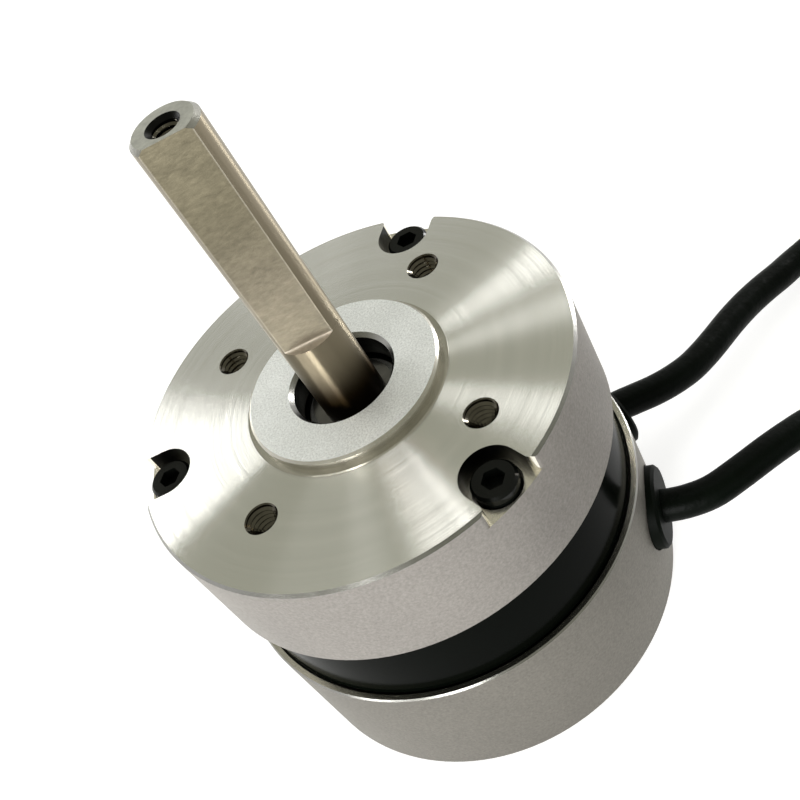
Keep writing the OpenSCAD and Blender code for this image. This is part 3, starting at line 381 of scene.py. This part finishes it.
def latheGroup(sizes):
    # rings round the Z axis: tone, and how far each groove's wall leans in or out, change with the radius only,
    # and roughness with the radius and a faint smear
    tree, into, out = newGroup("latheRings", [
        ("Colour", "colour", (0.8, 0.8, 0.78, 1)), ("Ring Scale", "value", 9000),
        ("Ring Contrast", "value", 0.05), ("Roughness", "value", 0.3), ("Lean", "value", 0.1),
        ("Groove", "value", 0.3), ("Nicks", "value", 0.3),
    ], [("Colour", "colour"), ("Roughness", "value"), ("Normal", "vector")])
    place = addNode(tree, "ShaderNodeTexCoord").outputs["Object"]
    flat = addNode(tree, "ShaderNodeVectorMath", operation="MULTIPLY")
    flat.inputs[1].default_value = (1, 1, 0)
    radius = addNode(tree, "ShaderNodeVectorMath", operation="LENGTH")
    outwards = addNode(tree, "ShaderNodeVectorMath", operation="NORMALIZE")
    wire(tree, (place, flat.inputs[0]), (flat.outputs[0], radius.inputs[0]),
         (flat.outputs[0], outwards.inputs[0]))
    fine = addNode(tree, "ShaderNodeTexNoise", {"Scale": 1.0, "Detail": 3.0}, noise_dimensions="1D")
    broad = addNode(tree, "ShaderNodeTexNoise", {"Scale": sizes["broadScale"], "Detail": 2.0},
                    noise_dimensions="1D")
    wire(tree, (maths(tree, "MULTIPLY", radius.outputs["Value"], into["Ring Scale"]), fine.inputs["W"]),
         (radius.outputs["Value"], broad.inputs["W"]))
    smear = addNode(tree, "ShaderNodeTexNoise", {"Scale": sizes["smearScale"], "Detail": 5.0, "Roughness": 0.6})
    wire(tree, (place, smear.inputs["Vector"]))
    rings = maths(tree, "ADD", maths(tree, "SUBTRACT", fine.outputs[0], 0.5),
                  maths(tree, "SUBTRACT", broad.outputs[0], 0.5))
    tone = maths(tree, "MULTIPLY_ADD", rings, into["Ring Contrast"])
    tone.node.inputs[2].default_value = 1.0
    toned = addNode(tree, "ShaderNodeVectorMath", operation="SCALE")
    wire(tree, (into["Colour"], toned.inputs[0]), (tone, toned.inputs["Scale"]),
         (toned.outputs[0], out["Colour"]))
    dull = around(tree, smear.outputs[0], sizes["smearRoughness"])
    uneven = maths(tree, "ADD", dull, maths(tree, "MULTIPLY", rings, sizes["ringRoughness"]))
    wire(tree, (maths(tree, "ADD", into["Roughness"], uneven, clamp=True), out["Roughness"]))
    # scattered nicks: short dents where a distorted noise is highest
    dents = addNode(tree, "ShaderNodeTexNoise", {"Scale": sizes["nickScale"], "Detail": 1.0, "Distortion": 1.5})
    wire(tree, (place, dents.inputs["Vector"]))
    dent = addNode(tree, "ShaderNodeMapRange", {"From Min": sizes["nickFrom"], "From Max": sizes["nickTo"]},
                   clamp=True)
    wire(tree, (dents.outputs[0], dent.inputs["Value"]))
    leaned = addNode(tree, "ShaderNodeVectorMath", operation="SCALE")
    shape = addNode(tree, "ShaderNodeNewGeometry")
    total = addNode(tree, "ShaderNodeVectorMath", operation="ADD")
    level = addNode(tree, "ShaderNodeVectorMath", operation="NORMALIZE")
    bump = addNode(tree, "ShaderNodeBump", {"Distance": sizes["nickDepth"]})
    groove = addNode(tree, "ShaderNodeTexWhiteNoise", noise_dimensions="1D")
    step = maths(tree, "ROUND", maths(tree, "MULTIPLY", radius.outputs["Value"], sizes["groovesPerMetre"]))
    wire(tree, (step, groove.inputs["W"]))
    rock = around(tree, groove.outputs["Value"], into["Groove"])
    wire(tree, (outwards.outputs[0], leaned.inputs[0]),
         (maths(tree, "ADD", into["Lean"], rock), leaned.inputs["Scale"]),
         (shape.outputs["Normal"], total.inputs[0]), (leaned.outputs[0], total.inputs[1]),
         (total.outputs[0], level.inputs[0]), (level.outputs[0], bump.inputs["Normal"]),
         (dent.outputs["Result"], bump.inputs["Height"]), (into["Nicks"], bump.inputs["Strength"]),
         (bump.outputs[0], out["Normal"]))
    return tree


grain, latheRings = grainGroup(), latheGroup(turning)


def newMaterial(name, group, groupValues, shaderValues):
    # a group paints colour, roughness and normal, and what is the same all over goes on the shader itself
    made = bpy.data.materials.new(name)
    made.use_nodes = True
    tree = made.node_tree
    shader = tree.nodes["Principled BSDF"]
    place = tree.nodes.new("ShaderNodeGroup")
    place.node_tree = group
    for key, value in groupValues.items():
        place.inputs[key].default_value = value
    wire(tree, (place.outputs["Colour"], shader.inputs["Base Color"]),
         (place.outputs["Roughness"], shader.inputs["Roughness"]),
         (place.outputs["Normal"], shader.inputs["Normal"]))
    for key, value in shaderValues.items():
        shader.inputs[key].default_value = value
    return made


def grainMaterial(name, colour, roughness, metallic=0.0, speck=(3000, 0.1), cloud=(60, 0.08), bump=0.00002,
                  stretch=(1, 1, 1), spread=0.08, **shaderValues):
    # speck and cloud are each a scale and a contrast
    values = {"Colour": (*colour, 1), "Roughness": roughness, "Roughness Spread": spread,
              "Speck Scale": speck[0], "Speck Contrast": speck[1],
              "Cloud Scale": cloud[0], "Cloud Contrast": cloud[1], "Bump Height": bump, "Stretch": stretch}
    return newMaterial(name, grain, values, {"Metallic": metallic, **shaderValues})


def turnedMaterial(name, **values):
    # the tangent runs round the axis, and the quarter turn spreads the highlights across the grooves
    made = newMaterial(name, latheRings, values,
                       {"Metallic": 1.0, "Anisotropic": 1.0, "Anisotropic Rotation": 0.25})
    radial = addNode(made.node_tree, "ShaderNodeTangent", direction_type="RADIAL", axis="Z")
    wire(made.node_tree, (radial.outputs[0], made.node_tree.nodes["Principled BSDF"].inputs["Tangent"]))
    return made


# blasted and turned aluminium, and the black band
turnedFace = turnedMaterial("turnedFace", **{
    "Colour": (0.81, 0.805, 0.765, 1), "Roughness": 0.25, "Lean": 0.1, "Groove": 0.14, "Ring Contrast": 0.06,
    "Nicks": 0.03})
blastedSide = grainMaterial("blastedSide", (0.30, 0.282, 0.262), 0.56, 1.0,
                            speck=(2800, 0.4), cloud=(90, 0.12), bump=0.00003)
# painted shade: the front cap's blasted finish made darker and warmer, for the shaded floor that the rear cap's
# sides mirror
blastedRearShaded = grainMaterial("blastedRearShaded", (0.205, 0.194, 0.172), 0.56, 1.0,
                            speck=(2800, 0.4), cloud=(90, 0.12), bump=0.00003)
blastedBoss = grainMaterial("blastedBoss", (0.84, 0.855, 0.845), 0.56, 1.0,
                            speck=(4200, 0.5), cloud=(250, 0.08), bump=0.00002)
turnedEdge = grainMaterial("turnedEdge", (0.55, 0.53, 0.47), 0.25, 1.0,
                           speck=(2500, 0.1), cloud=(300, 0.2), bump=0.000005)
turnedRim = grainMaterial("turnedRim", (0.32, 0.315, 0.295), 0.22, 1.0,
                          speck=(2500, 0.1), cloud=(300, 0.2), bump=0.000005)
milledPocket = grainMaterial("milledPocket", (0.86, 0.82, 0.72), 0.26, 1.0,
                             speck=(1800, 0.12), cloud=(300, 0.1), bump=0.00002)
# painted shade: a near-black colour that stands in for the shade on the bore, notch and counterbore walls, in
# the shaft's end hole and on the rear cap's wall under the ledge
shadedWall = grainMaterial("shadedWall", (0.012, 0.012, 0.011), 0.3, 1.0,
                           speck=(1800, 0.2), cloud=(300, 0.3), bump=0.00002)
# painted shade: the tapped walls and the thread ridges are darkened for the shade inside the holes
tappedWall = grainMaterial("tappedWall", (0.13, 0.12, 0.095), 0.12, 1.0,
                           speck=(2500, 0.2), cloud=(600, 0.5), bump=0.00001)
blackBand = grainMaterial("blackBand", (0.0012, 0.0018, 0.0012), 0.16, 0.0,
                          speck=(2500, 0.2), cloud=(120, 0.3), bump=0.000005,
                          **{"IOR": 1.07})

# steel: the flat keeps fine marks across it, and the round part is ground
shaftRound = turnedMaterial("shaftRound", **{
    "Colour": (0.24, 0.205, 0.145, 1), "Roughness": 0.32, "Lean": 0.0, "Groove": 0.0, "Ring Contrast": 0.0,
    "Nicks": 0.0})
shaftFlat = grainMaterial("shaftFlat", (0.218, 0.193, 0.147), 0.4, 1.0,
                          speck=(1300, 0.4), cloud=(300, 0.2), bump=0.00003,
                          stretch=(0.7, 0.7, 1.5))
shaftEnd = grainMaterial("shaftEnd", (0.60, 0.60, 0.55), 0.36, 1.0,
                         speck=(1500, 0.3), cloud=(400, 0.3), bump=0.00002)


# the flat's colour: browner towards the end; its lighter sides and foot are wear plus a painted edge highlight
flatToneAndEdges = {
    "brown": (0.76, 0.76, 0.68, 1), "brownFrom": 0.004, "brownTo": 0.022,      # heights above the flat's foot
    "bright": (0.62, 0.58, 0.51, 1), "side": (0.00022, 0.00004), "foot": (0.00024, 0.00006),
    "sideShare": 0.3,          # how much of the lighter edge, wear plus painted highlight, shows at the sides
}
# painted shade on the shaft just above the bearing: its colour, and the heights between which it fades out
shaftFootShade = {"colour": (0.10, 0.075, 0.045, 1), "from": 0.0472, "to": 0.0550}


def between(tree, value, low, high):
    # 0 up to the low value and 1 from the high one, with a smooth step between
    fall = addNode(tree, "ShaderNodeMapRange", {"From Min": low, "From Max": high},
                   interpolation_type="SMOOTHSTEP")
    wire(tree, (value, fall.inputs["Value"]))
    return fall.outputs["Result"]


def toneFlatAndEdges(made, sizes, toneAndEdges):
    # the flat is browner towards the shaft's end, and its two sides and its foot are lighter: worn edges with a
    # painted edge highlight
    tree = made.node_tree
    shader, grained = tree.nodes["Principled BSDF"], tree.nodes["Group"].outputs["Colour"]
    place, split = addNode(tree, "ShaderNodeTexCoord"), addNode(tree, "ShaderNodeSeparateXYZ")
    across = addNode(tree, "ShaderNodeVectorMath", operation="DOT_PRODUCT")
    way = np.radians(sizes["flatAngle"])
    across.inputs[1].default_value = (-np.sin(way), np.cos(way), 0)
    wire(tree, (place.outputs["Object"], split.inputs[0]), (place.outputs["Object"], across.inputs[0]))
    halfWidth = np.sqrt(sizes["radius"] ** 2 - sizes["flatReach"] ** 2)
    height, foot = split.outputs["Z"], sizes["flatFrom"]
    brown = mixColours(tree, between(tree, height, foot + toneAndEdges["brownFrom"], foot + toneAndEdges["brownTo"]),
                       (1, 1, 1, 1), toneAndEdges["brown"])
    toned = mixColours(tree, 1.0, grained, brown, "MULTIPLY")
    side = between(tree, maths(tree, "ABSOLUTE", across.outputs["Value"]),
                   halfWidth - toneAndEdges["side"][0], halfWidth - toneAndEdges["side"][1])
    low = between(tree, height, foot + toneAndEdges["foot"][0], foot + toneAndEdges["foot"][1])
    lightEdges = maths(tree, "MAXIMUM", maths(tree, "MULTIPLY", side, toneAndEdges["sideShare"]), low)
    wire(tree, (mixColours(tree, lightEdges, toned, toneAndEdges["bright"]), shader.inputs["Base Color"]))


def shadeShaftFoot(made, footShade):
    # painted shade: the shaft's colour darkens towards the bearing, standing in for the shade and the dark
    # reflection of the bore just above it
    tree = made.node_tree
    shader, grained = tree.nodes["Principled BSDF"], tree.nodes["Group"].outputs["Colour"]
    place, split = addNode(tree, "ShaderNodeTexCoord"), addNode(tree, "ShaderNodeSeparateXYZ")
    wire(tree, (place.outputs["Object"], split.inputs[0]))
    unshaded = between(tree, split.outputs["Z"], footShade["from"], footShade["to"])
    tint = mixColours(tree, unshaded, footShade["colour"], (1, 1, 1, 1))
    wire(tree, (mixColours(tree, 1.0, grained, tint, "MULTIPLY"), shader.inputs["Base Color"]))


toneFlatAndEdges(shaftFlat, shaft, flatToneAndEdges)
shadeShaftFoot(shaftRound, shaftFootShade)
shaftShoulder = grainMaterial("shaftShoulder", (0.62, 0.57, 0.52), 0.35, 1.0,
                              speck=(2000, 0.2), cloud=(400, 0.2), bump=0.00001)
shaftBevel = grainMaterial("shaftBevel", (0.30, 0.295, 0.265), 0.38, 1.0,
                           speck=(2000, 0.3), cloud=(400, 0.3), bump=0.00001)
bearingSteel = grainMaterial("bearingSteel", (0.62, 0.62, 0.63), 0.24, 1.0,
                             speck=(2500, 0.06), cloud=(200, 0.08), bump=0.000004)
springSteel = grainMaterial("springSteel", (0.16, 0.155, 0.15), 0.18, 1.0,
                            speck=(2500, 0.1), cloud=(500, 0.5), bump=0.00001)
discSteel = grainMaterial("discSteel", (0.27, 0.275, 0.285), 0.4, 1.0,
                          speck=(2200, 0.12), cloud=(120, 0.12), bump=0.00001)
blackOxide = grainMaterial("blackOxide", (0.003, 0.0036, 0.003), 0.2, 0.0,
                           speck=(2600, 0.3), cloud=(300, 0.3), bump=0.000008,
                           **{"IOR": 1.3})
coreIron = grainMaterial("coreIron", (0.20, 0.205, 0.215), 0.55, 0.4,
                         speck=(2500, 0.2), cloud=(150, 0.1), bump=0.00002)
magnetNickel = grainMaterial("magnetNickel", (0.56, 0.55, 0.53), 0.22, 1.0,
                             speck=(1500, 0.06), cloud=(200, 0.1), bump=0.000005)

# copper and brass
coilCopper = grainMaterial("coilCopper", (0.62, 0.24, 0.09), 0.3, 1.0,
                           speck=(900, 0.25), cloud=(200, 0.1), bump=0.00008,
                           stretch=(0.3, 0.3, 4))
leadCopper = grainMaterial("leadCopper", (0.70, 0.38, 0.17), 0.3, 1.0,
                           speck=(3000, 0.15), cloud=(300, 0.1), bump=0.00001)
contactBrass = grainMaterial("contactBrass", (0.72, 0.56, 0.30), 0.28, 1.0,
                             speck=(2500, 0.1), cloud=(200, 0.1), bump=0.000005)

# rubber and plastics
rubber = grainMaterial("rubber", (0.0014, 0.0026, 0.0014), 0.5, 0.0,
                       speck=(2200, 0.25), cloud=(120, 0.2), bump=0.00002,
                       **{"Specular IOR Level": 0.04})
cableSheath = grainMaterial("cableSheath", (0.0012, 0.0024, 0.0013), 0.42, 0.0,
                            speck=(420, 0.5), cloud=(110, 0.4), bump=0.00015,
                            **{"Specular IOR Level": 0.05})
plugNylon = grainMaterial("plugNylon", (0.74, 0.71, 0.63), 0.42, 0.0,
                          speck=(1500, 0.04), cloud=(90, 0.05), bump=0.00001,
                          **{"Subsurface Weight": 0.05})
tieNylon = grainMaterial("tieNylon", (0.75, 0.75, 0.74), 0.45, 0.0,
                         speck=(1800, 0.05), cloud=(120, 0.05), bump=0.00001)
coverLaminate = grainMaterial("coverLaminate", (0.05, 0.17, 0.08), 0.5, 0.0,
                              speck=(1600, 0.2), cloud=(120, 0.1), bump=0.00002)
darkPlastic = grainMaterial("darkPlastic", (0.03, 0.03, 0.033), 0.45, 0.0,
                            speck=(2200, 0.2), cloud=(160, 0.1), bump=0.00001)
print("materials made")

# the CAD nodes that are shown as they are
dressing = {
    "stator_ring": blackBand, "front_cover": coverLaminate, "rear_cover": coverLaminate,
    "stator_cores": coreIron, "bobbins": plugNylon, "windings": coilCopper, "phase_wires": coilCopper,
    "sensor_board": coverLaminate, "hall_sensors": darkPlastic, "board_screws": bearingSteel,
    "case_screws": blackOxide, "wave_washer": springSteel,
    "front_bearing_outer": bearingSteel, "rear_bearing_outer": bearingSteel,
    "front_bearing_inner": bearingSteel, "rear_bearing_inner": bearingSteel,
    "front_bearing_shields": rubber, "rear_bearing_shields": rubber,
    "front_bearing_balls": bearingSteel, "rear_bearing_balls": bearingSteel,
    "front_bearing_cage": contactBrass, "rear_bearing_cage": contactBrass,
    "power_grommet": rubber, "sensor_grommet": rubber, "power_leads": leadCopper, "sensor_leads": leadCopper,
    "power_tie": tieNylon, "sensor_tie": tieNylon, "power_plug": plugNylon, "sensor_plug": plugNylon,
    "power_contacts": contactBrass, "sensor_contacts": contactBrass,
    "rotor_key": bearingSteel, "rotor_spacer": discSteel, "front_disc": discSteel, "rear_disc": discSteel,
    "front_magnets": magnetNickel, "rear_magnets": magnetNickel, "rotor_screws": blackOxide,
    "sensor_ring": darkPlastic, "front_circlip": springSteel, "rear_circlip": springSteel,
}


def dress(piece, *finishes):
    piece.data.materials.clear()
    for finish in finishes:
        piece.data.materials.append(finish)


for node, finish in dressing.items():
    dress(cad[node], finish)
dress(bpy.data.objects["powerLead"], cableSheath)
dress(bpy.data.objects["sensorLead"], cableSheath)
dress(faceThreadPiece, tappedWall)
dress(endThreadPiece, tappedWall)


def faceNumbers(piece):
    # every face's middle, normal and the distance of its furthest corner from the axis
    mesh = piece.data
    count = len(mesh.polygons)
    middles, normals, corners = np.zeros(count * 3), np.zeros(count * 3), np.zeros(len(mesh.vertices) * 3)
    loops, starts = np.zeros(len(mesh.loops), int), np.zeros(count, int)
    mesh.polygons.foreach_get("center", middles)
    mesh.polygons.foreach_get("normal", normals)
    mesh.vertices.foreach_get("co", corners)
    mesh.loops.foreach_get("vertex_index", loops)
    mesh.polygons.foreach_get("loop_start", starts)
    reach = np.maximum.reduceat(np.hypot(*corners.reshape(-1, 3)[loops, :2].T), starts)
    return middles.reshape(-1, 3), normals.reshape(-1, 3), reach


def layFinishes(piece, finishes, choices):
    # the first finish is everywhere, and each later one covers the faces that its mask picks
    dress(piece, *finishes)
    finish = np.zeros(len(piece.data.polygons), np.int32)
    for number, mask in enumerate(choices, 1):
        finish[mask] = number
    piece.data.polygons.foreach_set("material_index", finish)
    piece.data.update()


def nearHoles(middles, circle, angle, count, radius):
    # whether a face lies within a radius of one of the holes set evenly round the axis
    way = np.radians(angle + np.arange(count) * 360 / count)
    holes = circle * np.stack([np.cos(way), np.sin(way)], 1)
    return (np.linalg.norm(middles[:, None, :2] - holes[None], axis=2) < radius).any(1)


facing = {"wall": 0.3, "level": 0.95, "shoulder": 0.9}     # how far up a face's normal points
near = 0.0001                  # how far from a size a face still counts as on it
margin = {                     # how far a finish reaches past the size that it goes by
    "rim": 0.0006, "rimDepth": 0.0005, "sideTop": 0.0003, "bossFoot": 0.00001, "bossEdge": 0.001,
    "boreWall": 0.0002, "notch": 0.0003, "hole": 0.0002, "rearSide": 0.0004, "ledge": 0.00025,
    "flat": 0.00005, "shaftEnd": 0.0007,
}

middles, normals, reach = faceNumbers(frontCapPiece)
sizes, height, up = frontCap, middles[:, 2], normals[:, 2]
wall, chamfer = np.abs(up) < facing["wall"], (up > facing["wall"]) & (up < facing["level"])
onBoss = ((height > sizes["faceHeight"] + margin["bossFoot"])
          & (reach > sizes["boreRadius"] + margin["bossEdge"]))
rim = (reach > sizes["bodyRadius"] - margin["rim"]) & (height > sizes["faceHeight"] - margin["rimDepth"])
boreMouth = (reach < sizes["boreRadius"] + margin["rim"]) & (height > sizes["bossHeight"] - margin["bossEdge"])
inBore = reach < sizes["boreRadius"] + margin["boreWall"]
inNotch = (reach < sizes["bodyRadius"] - near) & nearHoles(
    middles, sizes["screwCircle"], sizes["screwAngle"], sizes["screwCount"],
    sizes["notchRadius"] + margin["notch"])
inHole = nearHoles(
    middles, sizes["holeCircle"], sizes["holeAngle"], sizes["holeCount"], sizes["holeRadius"] + margin["hole"])
layFinishes(frontCapPiece, (
    milledPocket, blastedSide, turnedFace, turnedRim, turnedEdge, blastedBoss, shadedWall, tappedWall,
), (
    wall & (reach > sizes["bodyRadius"] - near) & (height < sizes["faceHeight"] - margin["sideTop"]),
    (up > facing["level"]) & (np.abs(height - sizes["faceHeight"]) < near),
    chamfer & (rim | boreMouth),
    onBoss,
    (up > facing["level"]) & (height > sizes["bossHeight"] - near),
    # painted shade on the bore and notch walls
    wall & (inBore | inNotch),
    inHole & (up < facing["level"]),
))

middles, normals, reach = faceNumbers(rearCapPiece)
sizes, height, up = rearCap, middles[:, 2], normals[:, 2]
chamfer = (up > facing["wall"]) & (up < facing["level"])
fromLedge, underLedge = np.abs(height - sizes["ledgeHeight"]), height < sizes["ledgeHeight"] - near
inShade = (reach > sizes["shadeReach"][0]) & (reach < sizes["shadeReach"][1])
layFinishes(rearCapPiece, (milledPocket, blastedRearShaded, turnedEdge, turnedRim, shadedWall), (
    (reach > sizes["bodyRadius"] - margin["rearSide"]) & underLedge | (height < margin["rearSide"]),
    (fromLedge < margin["ledge"]) & (reach > sizes["ledgeInside"]),
    (fromLedge < margin["rim"]) & (reach > sizes["ledgeInside"]) & chamfer,
    # painted shade on the wall under the ledge
    (height > sizes["ledgeHeight"] - sizes["shadeDepth"]) & underLedge & inShade,
))

middles, normals, reach = faceNumbers(shaftPiece)
sizes, height, up = shaft, middles[:, 2], normals[:, 2]
away = np.array([np.cos(np.radians(sizes["flatAngle"])), np.sin(np.radians(sizes["flatAngle"]))])
facesAway = normals[:, :2] @ away > 0.99
onFlat = facesAway & (np.abs(middles[:, :2] @ away - sizes["flatReach"]) < margin["flat"])
atEnd = height > sizes["endHeight"] - margin["shaftEnd"]
inEndHole = (height > sizes["endHeight"] - sizes["endHoleDepth"]) & (reach < sizes["endHoleReach"])
layFinishes(shaftPiece, (shaftRound, shaftFlat, shaftEnd, shaftShoulder, shaftBevel, shadedWall), (
    onFlat & (height > sizes["flatFrom"] - near),
    atEnd & (up > facing["wall"]),
    (np.abs(height - sizes["flatFrom"]) < near) & (up > facing["shoulder"]),
    atEnd & (up > facing["wall"]) & (up < facing["shoulder"]) & (reach > sizes["endHoleReach"]),
    # painted shade in the end hole
    inEndHole & (up < facing["level"]),
))
print("finishes laid on")

# floor, world and lamps
room = {
    "floorSide": 6.0,
    "floorGlow": 0.72, "floorShown": (0.55, 0.55, 0.55, 1),    # what the camera and reflections see
    "floorMatt": (0.9, 0.9, 0.9, 1),                           # what lights the object
    "horizon": (1, 1, 1, 1), "ceiling": (0.365, 0.365, 0.30, 1), "fall": (0.16, 0.5),
}


def makeFloor(sizes):
    half = sizes["floorSide"] / 2
    corners = np.array([(-half, -half, 0), (half, -half, 0), (half, half, 0), (-half, half, 0)])
    floor = addPiece("floor", corners, [[0, 1, 2, 3]], smooth=False)
    made = bpy.data.materials.new("paleFloor")
    made.use_nodes = True
    tree = made.node_tree
    tree.nodes.remove(tree.nodes["Principled BSDF"])
    matt = addNode(tree, "ShaderNodeBsdfDiffuse", {"Color": sizes["floorMatt"]})
    shown = addNode(tree, "ShaderNodeBsdfDiffuse", {"Color": sizes["floorShown"]})
    glow = addNode(tree, "ShaderNodeEmission", {"Strength": sizes["floorGlow"]})
    both, pick = tree.nodes.new("ShaderNodeAddShader"), tree.nodes.new("ShaderNodeMixShader")
    wire(tree, (shown.outputs[0], both.inputs[0]), (glow.outputs[0], both.inputs[1]),
         (seenDirectly(tree), pick.inputs[0]), (matt.outputs[0], pick.inputs[1]),
         (both.outputs[0], pick.inputs[2]), (pick.outputs[0], tree.nodes["Material Output"].inputs["Surface"]))
    dress(floor, made)


def seenDirectly(tree):
    # 1 for what the camera, a reflection or glass sees, and 0 for light that falls on the object
    ways = tree.nodes.new("ShaderNodeLightPath")
    glossy = maths(tree, "MAXIMUM", ways.outputs["Is Glossy Ray"], ways.outputs["Is Transmission Ray"])
    return maths(tree, "MAXIMUM", ways.outputs["Is Camera Ray"], glossy)


def makeWorld(sizes):
    world = bpy.data.worlds.new("studio")
    bpy.context.scene.world = world
    world.use_nodes = True
    tree = world.node_tree
    tree.nodes.clear()
    place, split = tree.nodes.new("ShaderNodeTexCoord"), tree.nodes.new("ShaderNodeSeparateXYZ")
    light, output = tree.nodes.new("ShaderNodeBackground"), tree.nodes.new("ShaderNodeOutputWorld")
    height = between(tree, split.outputs["Z"], *sizes["fall"])
    wire(tree, (place.outputs["Generated"], split.inputs[0]),
         (mixColours(tree, height, sizes["horizon"], sizes["ceiling"]), light.inputs["Color"]),
         (light.outputs[0], output.inputs["Surface"]))


# direction of each lamp from the face, and its turn about the line to the face: azimuth, elevation and roll in
# degrees, then distance, width and height in metres, and watts
lamps = {
    "leftWedge": (85, 23, -44, 0.9, 0.23, 0.42, 1.75),
    "frontLine": (20, 84, 129, 0.9, 0.50, 0.020, 0.25),
    "frontBand": (77, 85, 70, 0.9, 0.50, 0.105, 0.38),
    "rightWedge": (-3, 60, -168, 0.9, 0.41, 0.13, 0.35),
    "rightFan": (17, 27, -119, 0.9, 0.33, 0.11, 0.33),
    "shaftLeft": (-162, 12, 0, 0.9, 0.26, 0.5, 6.0),
    "shaftRight": (-11, 10, 0, 0.9, 0.17, 0.3, 3.8),
    "leftSide": (172, 8, 0, 0.9, 0.5, 0.25, 4.2),
}


def makeLamp(name, azimuth, elevation, roll, distance, width, height, watts):
    data = bpy.data.lights.new(name, "AREA")
    data.shape, data.size, data.size_y, data.energy = "RECTANGLE", width, height, watts
    lamp = bpy.data.objects.new(name, data)
    bpy.context.scene.collection.objects.link(lamp)
    a, e, r = np.radians((azimuth, elevation, roll))
    back = np.array([np.cos(e) * np.cos(a), np.cos(e) * np.sin(a), np.sin(e)])
    level = np.array([-np.sin(a), np.cos(a), 0])
    right = np.cos(r) * level + np.sin(r) * np.cross(back, level)
    axes = Matrix((right.tolist(), np.cross(back, right).tolist(), back.tolist())).transposed().to_4x4()
    lamp.matrix_world = Matrix.Translation((back * distance + [0, 0, frontCap["faceHeight"]]).tolist()) @ axes


makeFloor(room)
makeWorld(room)
for name, numbers in lamps.items():
    makeLamp(name, *numbers)
bpy.context.scene.view_settings.view_transform = "Standard"
print("studio made")
